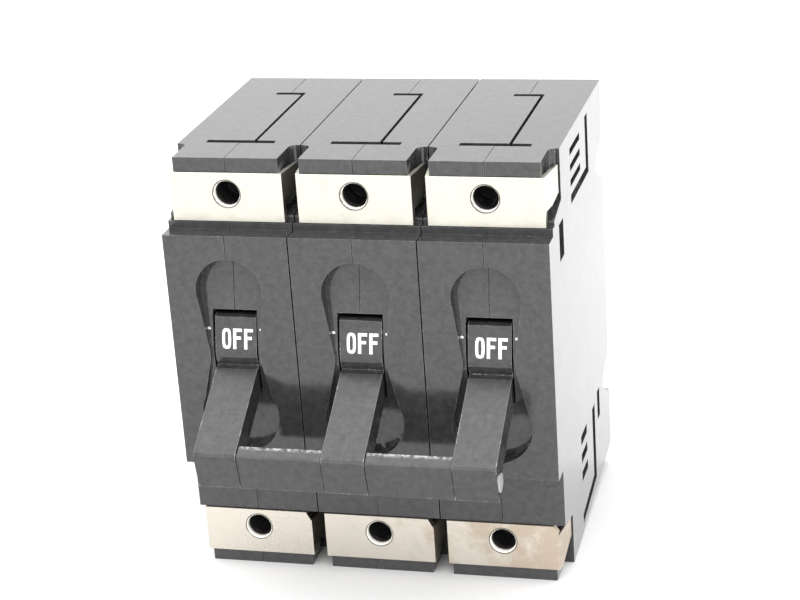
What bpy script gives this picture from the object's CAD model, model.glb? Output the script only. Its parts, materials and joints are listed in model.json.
"""Looks of the three-pole toggle circuit breaker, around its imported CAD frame. Metres throughout."""

import json
import math

import bmesh
import bpy
from mathutils import Matrix, Vector


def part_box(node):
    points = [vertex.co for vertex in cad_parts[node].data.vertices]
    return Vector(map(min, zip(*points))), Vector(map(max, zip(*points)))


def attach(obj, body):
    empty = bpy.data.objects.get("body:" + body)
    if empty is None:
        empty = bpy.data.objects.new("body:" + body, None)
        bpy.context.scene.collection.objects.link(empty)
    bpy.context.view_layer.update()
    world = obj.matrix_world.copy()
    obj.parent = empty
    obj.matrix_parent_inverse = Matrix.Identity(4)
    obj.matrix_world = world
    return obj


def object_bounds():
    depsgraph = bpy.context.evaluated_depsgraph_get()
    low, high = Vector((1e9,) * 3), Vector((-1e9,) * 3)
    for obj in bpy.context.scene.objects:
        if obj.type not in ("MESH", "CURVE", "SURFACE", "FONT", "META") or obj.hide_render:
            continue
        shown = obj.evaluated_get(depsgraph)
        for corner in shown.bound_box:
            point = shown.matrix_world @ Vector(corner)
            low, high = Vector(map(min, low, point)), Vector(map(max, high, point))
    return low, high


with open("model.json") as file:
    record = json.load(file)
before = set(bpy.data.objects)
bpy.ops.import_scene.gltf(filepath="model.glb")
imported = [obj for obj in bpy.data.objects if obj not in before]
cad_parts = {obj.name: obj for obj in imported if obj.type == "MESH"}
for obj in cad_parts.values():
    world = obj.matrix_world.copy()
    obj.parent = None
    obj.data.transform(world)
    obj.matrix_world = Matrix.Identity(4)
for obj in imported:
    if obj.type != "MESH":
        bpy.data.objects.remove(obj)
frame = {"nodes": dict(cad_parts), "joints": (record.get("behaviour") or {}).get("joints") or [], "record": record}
cad_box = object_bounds()
nodes = frame["nodes"]
joints = {joint["name"]: joint for joint in frame["joints"]}
slot_of = {part["node"]: part["material_slot"] for part in frame["record"]["subparts"]}
scene = bpy.context.scene
MM = 0.001

screws = {mount["name"]: mount for mount in frame["record"]["mounts"]}["outer_pole_screws"]
HOLE_R = screws["dims"]["hole_r_mm"] * MM
PITCH = screws["dims"]["spacing_x_mm"] * MM / 2
LINE_ROW = screws["pos_m"][2] + screws["dims"]["spacing_y_mm"] * MM / 2
LOAD_ROW = screws["pos_m"][2] - screws["dims"]["spacing_y_mm"] * MM / 2
PLATE_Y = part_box("load_terminal_2")[0].y


# ---------------------------------------------------------------- shader helpers


def shade(colour, factor):
    return tuple(min(1, channel * factor) for channel in colour)


def set_range(map_range, low, high, from_value, to_value):
    for key, value in (("From Min", low), ("From Max", high), ("To Min", from_value), ("To Max", to_value)):
        map_range.inputs[key].default_value = value


class Shader:
    """A small wrapper that keeps a material's node tree short to write."""

    def __init__(self, name):
        self.material = bpy.data.materials.new(name)
        self.material.use_nodes = True
        self.tree = self.material.node_tree
        self.tree.nodes.clear()
        self.bsdf = self.node("ShaderNodeBsdfPrincipled")
        output = self.node("ShaderNodeOutputMaterial")
        self.link(self.bsdf.outputs[0], output.inputs[0])
        self.coords = self.node("ShaderNodeTexCoord").outputs["Object"]

    def node(self, kind, **settings):
        made = self.tree.nodes.new(kind)
        for key, value in settings.items():
            setattr(made, key, value)
        return made

    def link(self, source, target):
        self.tree.links.new(source, target)

    def feed(self, target, value):
        if isinstance(value, bpy.types.NodeSocket):
            self.link(value, target)
        else:
            target.default_value = value

    def stretched(self, scale):
        mapping = self.node("ShaderNodeMapping")
        self.link(self.coords, mapping.inputs["Vector"])
        mapping.inputs["Scale"].default_value = scale
        return mapping.outputs[0]

    def noise(self, size, detail=3.0, stretch=(1, 1, 1), rough=0.6):
        """Noise with features about size metres across."""
        texture = self.node("ShaderNodeTexNoise")
        self.link(self.stretched(tuple(s / size for s in stretch)), texture.inputs["Vector"])
        texture.inputs["Scale"].default_value = 1.0
        texture.inputs["Detail"].default_value = detail
        texture.inputs["Roughness"].default_value = rough
        return texture.outputs["Fac"]

    def ramp(self, factor, low, high, from_value=0.0, to_value=1.0):
        mapped = self.node("ShaderNodeMapRange", interpolation_type="SMOOTHSTEP")
        self.link(factor, mapped.inputs["Value"])
        set_range(mapped, low, high, from_value, to_value)
        return mapped.outputs[0]

    def math(self, operation, a, b=0.0):
        made = self.node("ShaderNodeMath", operation=operation)
        self.feed(made.inputs[0], a)
        self.feed(made.inputs[1], b)
        return made.outputs[0]

    def off_centre(self, x, pitch):
        """Distance of x from the nearest pole's centre. The shift by whole pitches keeps the sum positive."""
        return self.math("PINGPONG", self.math("ADD", x, pitch * 10), pitch / 2)

    def mix(self, factor, a, b):
        """Colour a where factor is 0 and b where it is 1."""
        made = self.node("ShaderNodeMix", data_type="RGBA")
        self.feed(made.inputs["Factor"], factor)
        for socket, value in ((made.inputs["A"], a), (made.inputs["B"], b)):
            self.feed(socket, value if isinstance(value, bpy.types.NodeSocket) else (*value, 1.0))
        return made.outputs["Result"]

    def edges(self, radius, low=0.02, high=0.25):
        """1 on convex and concave edges, 0 on flats."""
        bevel = self.node("ShaderNodeBevel", samples=6)
        bevel.inputs["Radius"].default_value = radius
        geometry = self.node("ShaderNodeNewGeometry")
        dot = self.node("ShaderNodeVectorMath", operation="DOT_PRODUCT")
        self.link(bevel.outputs[0], dot.inputs[0])
        self.link(geometry.outputs["Normal"], dot.inputs[1])
        return self.ramp(self.math("SUBTRACT", 1.0, dot.outputs["Value"]), low, high)

    def bump(self, height, depth, strength=1.0):
        made = self.node("ShaderNodeBump")
        self.link(height, made.inputs["Height"])
        made.inputs["Distance"].default_value = depth
        made.inputs["Strength"].default_value = strength
        self.link(made.outputs[0], self.bsdf.inputs["Normal"])

    def set(self, **inputs):
        names = {"color": "Base Color", "rough": "Roughness", "metal": "Metallic", "ior": "IOR",
                 "coat": "Coat Weight", "coat_rough": "Coat Roughness"}
        for key, value in inputs.items():
            target = self.bsdf.inputs[names[key]]
            is_colour = key == "color" and not isinstance(value, bpy.types.NodeSocket)
            self.feed(target, (*value, 1.0) if is_colour else value)


# ---------------------------------------------------------------- materials


BAR_FACE = (-15.9 * MM, -9.6 * MM)      # heights of the flat front of the tie bar, switched off
FACE_BLEND = 0.5 * MM                   # over which edge wear fades in outside it
SPACER_SIDE = (4.3 * MM, 4.5 * MM)      # distance from a pole's centre where a tie spacer begins
SPACER_CREST = (1.25 * MM, 1.6 * MM)    # height above the flat front where a spacer's crest begins


def moulded(name, base, wear, rough=(0.09, 0.15), grain=0.00035, rub=0.3 * MM, smooth=None):
    """Dark glossy thermoset: filler mottle, fine moulding grain, pale rubbed edges with dusty flecks.

    smooth: the (low, high) heights between which edges show no wear. Above them the crests of the tie
    spacers get pale glints.
    """
    s = Shader(name)
    mottle = s.ramp(s.noise(0.0016, 4), 0.35, 0.65)
    flour = s.ramp(s.noise(grain, 2), 0.6, 0.8)
    body = s.mix(mottle, shade(base, 0.85), shade(base, 1.2))
    body = s.mix(s.math("MULTIPLY", flour, 0.3), body, shade(base, 2.2))
    rim = s.edges(rub)
    if smooth:
        split = s.node("ShaderNodeSeparateXYZ")
        s.link(s.coords, split.inputs[0])
        above = s.ramp(split.outputs[2], smooth[1] - FACE_BLEND, smooth[1])
        below = s.ramp(split.outputs[2], smooth[0], smooth[0] + FACE_BLEND, 1.0, 0.0)
        rim = s.math("MULTIPLY", rim, s.math("MAXIMUM", above, below))
        column = s.off_centre(split.outputs[0], PITCH)
        crest = s.math("MULTIPLY", s.ramp(column, *SPACER_SIDE),
                       s.ramp(split.outputs[2], *(smooth[1] + up for up in SPACER_CREST)))
        glints = s.ramp(s.noise(0.0007, 3), 0.36, 0.66)
        body = s.mix(s.math("MULTIPLY", crest, glints), body, (0.26, 0.255, 0.24))
    patches = s.ramp(s.noise(0.0032, 4), 0.46, 0.62)
    specks = s.ramp(s.noise(0.0006, 2), 0.45, 0.6)
    body = s.mix(s.math("MULTIPLY", rim, wear[0]), body, shade(base, 5))
    rubbed = s.math("MULTIPLY", rim, s.math("MULTIPLY", patches, specks))
    body = s.mix(s.math("MULTIPLY", rubbed, wear[1]), body, (0.42, 0.41, 0.38))
    smear = s.ramp(s.noise(0.007, 4), 0.3, 0.7, *rough)
    s.set(color=body, rough=s.math("ADD", smear, s.math("MULTIPLY", rim, 0.15)), ior=1.5)
    height = s.math("ADD", s.noise(grain, 3), s.math("MULTIPLY", s.noise(0.0012, 2), 0.8))
    s.bump(height, 0.008 * MM, 0.5)
    gloss = s.math("ADD", s.noise(0.00045, 2), s.noise(0.0011, 2))
    s.link(s.ramp(gloss, 0.6, 1.4, 0.4, 0.6), s.bsdf.inputs["Specular IOR Level"])
    return s.material


def plated(name, base, stain, stain_low, rough=0.34, brushed=(0.06, 1, 1), holes=None, drift=0.0):
    """Plated or bare sheet metal: drawn scratches, dull patches, stains that gather low on the noise.

    holes: (height, radius, pitch) of a row of tapped holes with dark grime round their rims and a pale bore
    wall that darkens with depth.
    drift: how fast the stains spread with x, per metre.
    """
    s = Shader(name)
    split = s.node("ShaderNodeSeparateXYZ")
    s.link(s.coords, split.inputs[0])
    scratches = s.noise(0.0002, 2, stretch=brushed)
    cloud = s.math("ADD", s.noise(0.0045, 6), s.math("MULTIPLY", split.outputs[0], drift))
    stained = s.ramp(cloud, stain_low - 0.06, stain_low + 0.2)
    pits = s.ramp(s.noise(0.0006, 3), 0.64, 0.74)
    tint = s.mix(s.ramp(scratches, 0.3, 0.7), shade(base, 0.94), base)
    tint = s.mix(s.math("MULTIPLY", stained, 0.6), tint, stain)
    tint = s.mix(s.math("MULTIPLY", pits, 0.3), tint, shade(stain, 0.6))
    wear = s.edges(0.25 * MM)
    tint = s.mix(s.math("MULTIPLY", wear, 0.35), tint, shade(base, 1.15))
    if holes:
        height, radius, pitch = holes
        column = s.off_centre(split.outputs[0], pitch)
        row = s.math("SUBTRACT", split.outputs[2], height)
        squares = s.math("ADD", s.math("MULTIPLY", column, column), s.math("MULTIPLY", row, row))
        reach = s.math("SQRT", squares)
        uneven = s.math("ADD", reach, s.math("MULTIPLY", s.noise(0.002, 3), 0.25 * MM))
        ring = s.math("MULTIPLY", s.ramp(reach, radius + 0.12 * MM, radius + 0.16 * MM),
                      s.ramp(uneven, radius + 0.42 * MM, radius + 0.52 * MM, 1.0, 0.0))
        tint = s.mix(s.math("MULTIPLY", ring, 0.85), tint, (0.02, 0.018, 0.015))
        bare = s.ramp(reach, radius + 0.1 * MM, radius + 0.13 * MM)
        wall = s.mix(s.ramp(split.outputs[1], PLATE_Y + 0.7 * MM, PLATE_Y + 1.5 * MM), (0.85, 0.83, 0.77),
                     (0.03, 0.028, 0.025))
        tint = s.mix(bare, wall, tint)
    s.set(color=tint, metal=bare if holes else 1.0, rough=s.ramp(cloud, 0.3, 0.7, rough * 0.8, rough * 1.3))
    s.bump(s.math("ADD", scratches, s.math("MULTIPLY", cloud, 0.5)), 0.012 * MM, 0.5)
    return s.material


def wound(name, base, pitch, axis):
    """Close turns of wire: ridges along axis with a slightly uneven lay."""
    s = Shader(name)
    split = s.node("ShaderNodeSeparateXYZ")
    s.link(s.coords, split.inputs[0])
    lay = s.math("MULTIPLY", s.noise(0.003, 2), pitch * 1.5)
    along = s.math("ADD", split.outputs[axis], lay)
    ridge = s.math("ABSOLUTE", s.math("SINE", s.math("MULTIPLY", along, math.pi / pitch)))
    tint = s.mix(s.ramp(ridge, 0.0, 0.6), shade(base, 0.25), base)
    dull = s.ramp(s.noise(0.002, 4), 0.5, 0.7)
    tint = s.mix(s.math("MULTIPLY", dull, 0.4), tint, shade(base, 0.6))
    s.set(color=tint, metal=0.85, rough=s.ramp(s.noise(0.001, 2), 0.3, 0.7, 0.22, 0.4),
          coat=0.4, coat_rough=0.2)
    s.bump(ridge, pitch * 0.4, 0.8)
    return s.material


def board(name, base, stretch, rough=(0.65, 0.85)):
    """Pressed fibre or nylon: fibres drawn out along one axis, soft scuffs, no shine."""
    s = Shader(name)
    fibres = s.noise(0.0006, 4, stretch=stretch)
    tint = s.mix(s.ramp(fibres, 0.3, 0.7), shade(base, 0.75), shade(base, 1.15))
    soot = s.ramp(s.noise(0.006, 3), 0.56, 0.75)
    tint = s.mix(s.math("MULTIPLY", soot, 0.45), tint, shade(base, 0.45))
    tint = s.mix(s.math("MULTIPLY", s.edges(0.3 * MM), 0.3), tint, shade(base, 1.4))
    s.set(color=tint, rough=s.ramp(fibres, 0.3, 0.7, *rough))
    s.bump(fibres, 0.03 * MM, 0.6)
    return s.material


def white_paint():
    """Filled legend paint, slightly chalky and thin at its rims."""
    s = Shader("legend_paint")
    chalk = s.noise(0.0005, 4)
    tint = s.mix(s.ramp(chalk, 0.3, 0.75), (0.55, 0.55, 0.53), (0.82, 0.82, 0.8))
    s.set(color=tint, rough=s.ramp(chalk, 0.3, 0.7, 0.45, 0.65))
    s.bump(chalk, 0.01 * MM, 0.4)
    return s.material


paint = white_paint()
finishes = {
    "phenolic_case": moulded("phenolic_case", (0.0255, 0.0255, 0.0261), (0.3, 0.25)),
    "toggle_plastic": moulded("toggle_plastic", (0.021, 0.021, 0.0216), (0.9, 1.0), rough=(0.15, 0.23),
                              grain=0.00028, rub=0.4 * MM, smooth=BAR_FACE),
    "trip_bar_plastic": moulded("trip_bar_plastic", (0.2, 0.05, 0.02), (0.1, 0.2), rough=(0.4, 0.55)),
    "tinned_terminal": plated("tinned_terminal", (0.5, 0.487, 0.43), (0.4, 0.36, 0.27), 0.66,
                              holes=(LINE_ROW, HOLE_R, PITCH)),
    "tarnished_terminal": plated("tarnished_terminal", (0.53, 0.492, 0.435), (0.33, 0.25, 0.17), 0.6,
                                 holes=(LOAD_ROW, HOLE_R, PITCH), drift=8.0),
    "zinc_steel": plated("zinc_steel", (0.55, 0.56, 0.56), (0.35, 0.34, 0.3), 0.62, rough=0.3),
    "grey_steel": plated("grey_steel", (0.4, 0.4, 0.41), (0.22, 0.17, 0.12), 0.6, rough=0.42),
    "passivated_steel": plated("passivated_steel", (0.6, 0.52, 0.28), (0.42, 0.25, 0.2), 0.52, rough=0.33),
    "spring_steel": plated("spring_steel", (0.42, 0.42, 0.43), (0.2, 0.18, 0.16), 0.6, rough=0.22),
    "silver_contact": plated("silver_contact", (0.75, 0.75, 0.72), (0.18, 0.17, 0.15), 0.56, rough=0.4),
    "copper": plated("copper", (0.7, 0.32, 0.18), (0.35, 0.14, 0.08), 0.55, rough=0.35),
    "brass_tube": plated("brass_tube", (0.68, 0.5, 0.22), (0.4, 0.25, 0.1), 0.58, rough=0.3),
    "plunger_iron": plated("plunger_iron", (0.36, 0.36, 0.37), (0.2, 0.16, 0.12), 0.62, rough=0.38),
    "copper_braid": wound("copper_braid", (0.72, 0.34, 0.19), 0.45 * MM, 2),
    "enamelled_wire": wound("enamelled_wire", (0.5, 0.16, 0.06), 0.8 * MM, 2),
    "fibre_board": board("fibre_board", (0.46, 0.32, 0.19), (1, 0.15, 1)),
    "nylon_bobbin": board("nylon_bobbin", (0.62, 0.57, 0.43), (1, 1, 0.4), rough=(0.45, 0.6)),
}


# ---------------------------------------------------------------- CAD nodes: finish and eased edges

EASE = {"phenolic_case": 0.28 * MM, "toggle_plastic": 0.3 * MM, "tinned_terminal": 0.15 * MM,
        "tarnished_terminal": 0.15 * MM, "trip_bar_plastic": 0.25 * MM, "fibre_board": 0.1 * MM,
        "copper": 0.2 * MM, "passivated_steel": 0.15 * MM, "grey_steel": 0.12 * MM}


def ease_edges(obj, width):
    """Rounds the sharp edges of a moulded or blanked piece so that they catch the light."""
    weld = obj.modifiers.new("weld", "WELD")
    weld.merge_threshold = 0.002 * MM
    bevel = obj.modifiers.new("ease", "BEVEL")
    bevel.width = width
    bevel.segments = 2
    bevel.limit_method = "ANGLE"
    bevel.angle_limit = math.radians(33)
    bevel.harden_normals = True


for name, obj in nodes.items():
    obj.data.materials.clear()
    obj.data.materials.append(finishes[slot_of[name]])
    if slot_of[name] in EASE:
        ease_edges(obj, EASE[slot_of[name]])


# ---------------------------------------------------------------- legends and marks


def keep(name, mesh_builder, material, body):
    """Makes an object from a bmesh builder and hangs it on a body."""
    mesh = bpy.data.meshes.new(name)
    bm = bmesh.new()
    mesh_builder(bm)
    bmesh.ops.recalc_face_normals(bm, faces=bm.faces)
    bm.to_mesh(mesh)
    bm.free()
    obj = bpy.data.objects.new(name, mesh)
    scene.collection.objects.link(obj)
    mesh.materials.append(material)
    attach(obj, body)


def stroke_rect(bm, place, x0, x1, z0, z1, thick):
    """A flat bar of paint from x0..x1, z0..z1 on the plane that place() maps to."""
    rings = [[bm.verts.new(place(x, z, y)) for x, z in ((x0, z0), (x1, z0), (x1, z1), (x0, z1))]
             for y in (0, thick)]
    for k in range(4):
        bm.faces.new((rings[0][k], rings[0][(k + 1) % 4], rings[1][(k + 1) % 4], rings[1][k]))
    bm.faces.new(rings[1])


O_POWER = 0.62    # below 1: squarer than an ellipse


def ring_stroke(bm, place, centre, size, stroke, thick, steps=28):
    """The letter O: a superellipse ring of paint."""
    def loop(half_x, half_z, y):
        points = []
        for k in range(steps):
            turn = 2 * math.pi * k / steps
            c, s = math.cos(turn), math.sin(turn)
            x = centre + half_x * math.copysign(abs(c) ** O_POWER, c)
            z = half_z * math.copysign(abs(s) ** O_POWER, s)
            points.append(bm.verts.new(place(x, z, y)))
        return points
    outer, inner = loop(size[0], size[1], 0), loop(size[0] - stroke, size[1] - stroke, 0)
    outer_top, inner_top = loop(size[0], size[1], thick), loop(size[0] - stroke, size[1] - stroke, thick)
    for k in range(steps):
        n = (k + 1) % steps
        bm.faces.new((outer_top[k], outer_top[n], inner_top[n], inner_top[k]))
        bm.faces.new((outer[k], outer[n], outer_top[n], outer_top[k]))
        bm.faces.new((inner[k], inner[n], inner_top[n], inner_top[k]))


LETTER_H = 4.05 * MM
LETTER_W = {"O": 1.82 * MM, "F": 1.82 * MM, "N": 2.5 * MM}
LETTER_GAP = 0.44 * MM
STROKE = 0.62 * MM
PAINT_T = 0.03 * MM


def letter(bm, place, shape, left):
    """One block letter whose left edge is at left."""
    half = LETTER_H / 2
    width = LETTER_W[shape]
    if shape == "O":
        ring_stroke(bm, place, left + width / 2, (width / 2, half), STROKE * 0.92, PAINT_T)
    if shape in "FN":
        stroke_rect(bm, place, left, left + STROKE, -half, half, PAINT_T)
    if shape == "F":
        stroke_rect(bm, place, left + STROKE, left + width, half - STROKE, half, PAINT_T)
        stroke_rect(bm, place, left + STROKE, left + width * 0.88, -STROKE * 0.2, STROKE * 0.8, PAINT_T)
    if shape == "N":
        stroke_rect(bm, place, left + width - STROKE, left + width, -half, half, PAINT_T)
        corners = ((left + STROKE, half), (left + width - STROKE, -half + STROKE * 2),
                   (left + width - STROKE, -half), (left + STROKE, half - STROKE * 2))
        lifted = [bm.verts.new(place(x, z, PAINT_T)) for x, z in corners]
        bm.faces.new(lifted)


pivot = Vector(joints["toggle_throw"]["pos_m"])
DROOP = math.radians(31.3)       # toggle angle below level when off
FLANK = 8.81 * MM                # hub face distance from the pivot
FLANK_SKEW = math.radians(45)    # hub face direction from the arm's
PAINT_GAP = 0.004 * MM           # paint stands this far off the face
LEGEND_SHIFT = 0.95 * MM         # legend centre along the face, away from the arm
LEGEND_NUDGE = 0.35 * MM         # and right of the pole's centre


def flank_place(x_centre, sign):
    """Maps (x, up, out) on a hub face to the row frame. sign +1: face above the arm, -1: below."""
    tilt = DROOP - sign * FLANK_SKEW
    out = Vector((0, -math.cos(tilt), -math.sin(tilt)))
    up = Vector((0, -math.sin(tilt), math.cos(tilt)))
    shift = LEGEND_SHIFT * sign

    def place(x, z, y):
        return pivot + Vector((x_centre + x, 0, 0)) + out * (FLANK + PAINT_GAP + y) + up * (z + shift)
    return place


def legend(word, x_centre, sign):
    width = sum(LETTER_W[shape] + LETTER_GAP for shape in word) - LETTER_GAP

    def build(bm):
        place = flank_place(x_centre, sign)
        left = LEGEND_NUDGE - width / 2
        for shape in word:
            letter(bm, place, shape, left)
            left += LETTER_W[shape] + LETTER_GAP
    return build


def dome(centre, radius, height, facing, rings=4, steps=20):
    """A low paint dome on a surface whose outward normal is facing."""
    side = Vector((1, 0, 0))
    up = facing.cross(side)

    def build(bm):
        loops = []
        for r in range(rings):
            rise = math.pi / 2 * r / rings
            lift = facing * height * math.sin(rise)
            spokes = [side * math.cos(a) + up * math.sin(a)
                      for a in (2 * math.pi * k / steps for k in range(steps))]
            loops.append([bm.verts.new(centre + spoke * radius * math.cos(rise) + lift) for spoke in spokes])
        tip = bm.verts.new(centre + facing * height)
        for low, high in zip(loops, loops[1:]):
            for k in range(steps):
                n = (k + 1) % steps
                bm.faces.new((low[k], low[n], high[n], high[k]))
        for k in range(steps):
            bm.faces.new((loops[-1][k], loops[-1][(k + 1) % steps], tip))
    return build


CASE_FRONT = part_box("case_left_2")[0].y
SCOOP_SLOPE = 0.195              # scoop floor, back per mm of height
SCOOP_DEPTH = 0.8 * MM           # scoop floor behind the case front,
SCOOP_FOOT = 1.5 * MM            # measured this far above the pivot
MARK_X = 5.35 * MM               # index marks either side of the pole's centre
MARK_UP = 5.0 * MM               # and above the pivot
MARK_R = 0.36 * MM
MARK_T = 0.1 * MM

floor_normal = Vector((0, -1, -SCOOP_SLOPE)).normalized()
mark_y = CASE_FRONT + SCOOP_DEPTH + SCOOP_SLOPE * (MARK_UP - SCOOP_FOOT)
for i in (1, 2, 3):
    low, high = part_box(f"toggle_{i}")
    x_centre = (low.x + high.x) / 2
    keep(f"legend_off_{i}", legend("OFF", x_centre, 1), paint, "handle")
    keep(f"legend_on_{i}", legend("ON", x_centre, -1), paint, "handle")
    for side, label in ((-1, "left"), (1, "right")):
        spot = Vector((x_centre + side * MARK_X, mark_y, pivot.z + MARK_UP))
        keep(f"index_mark_{i}_{label}", dome(spot, MARK_R, MARK_T, floor_normal), paint, "case")


# ---------------------------------------------------------------- studio


FLOOR_GAP = 0.02 * MM    # keeps the floor from sharing a plane with the part


def studio():
    base_z = cad_box[0][2]
    bpy.ops.mesh.primitive_plane_add(size=6, location=(0, 0, base_z - FLOOR_GAP))
    floor = bpy.context.object
    floor.name = "floor"
    sheet = Shader("paper_floor")
    lit = sheet.mix(sheet.noise(0.05, 3), (0.69, 0.69, 0.69), (0.72, 0.72, 0.72))
    seen = sheet.node("ShaderNodeLightPath").outputs["Is Camera Ray"]
    sheet.set(color=sheet.mix(seen, lit, (0.54, 0.54, 0.54)), rough=0.8)
    floor.data.materials.append(sheet.material)

    world = bpy.data.worlds.new("white_tent")
    scene.world = world
    world.use_nodes = True
    tree = world.node_tree
    tree.nodes.clear()
    output = tree.nodes.new("ShaderNodeOutputWorld")
    back = tree.nodes.new("ShaderNodeBackground")
    coords = tree.nodes.new("ShaderNodeTexCoord")
    split = tree.nodes.new("ShaderNodeSeparateXYZ")
    lift = tree.nodes.new("ShaderNodeMapRange")
    set_range(lift, 0.15, 1.0, 2.85, 5.2)          # brighter overhead
    depth = tree.nodes.new("ShaderNodeMapRange")
    set_range(depth, -1.0, 1.0, 1.1, 0.74)         # and from the front
    total = tree.nodes.new("ShaderNodeMath")
    total.operation = "MULTIPLY"
    tree.links.new(coords.outputs["Generated"], split.inputs[0])
    tree.links.new(split.outputs["Z"], lift.inputs["Value"])
    tree.links.new(split.outputs["Y"], depth.inputs["Value"])
    tree.links.new(lift.outputs[0], total.inputs[0])
    tree.links.new(depth.outputs[0], total.inputs[1])
    tree.links.new(total.outputs[0], back.inputs["Strength"])
    tree.links.new(back.outputs[0], output.inputs[0])


def camera():
    azimuth, elevation, roll = (math.radians(a) for a in (15.63, 21.24, -3.97))
    aim = Vector((8.8, -60.5, 17.3)) * MM
    distance = 401.7 * MM
    right = Vector((math.cos(azimuth), math.sin(azimuth), 0))
    back = Vector((math.sin(azimuth) * math.cos(elevation), -math.cos(azimuth) * math.cos(elevation),
                   math.sin(elevation)))
    up = back.cross(right)
    axis_x = right * math.cos(roll) + up * math.sin(roll)
    axis_y = up * math.cos(roll) - right * math.sin(roll)
    lens = bpy.data.cameras.new("camera")
    lens.lens = 95.4
    lens.sensor_width = 36
    lens.clip_start = 0.01
    shot = bpy.data.objects.new("camera", lens)
    scene.collection.objects.link(shot)
    turn = Matrix((axis_x, axis_y, back)).transposed().to_4x4()
    shot.matrix_world = Matrix.Translation(aim + back * distance) @ turn
    scene.camera = shot


studio()
camera()
scene.view_settings.view_transform = "Standard"
scene.view_settings.look = "None"
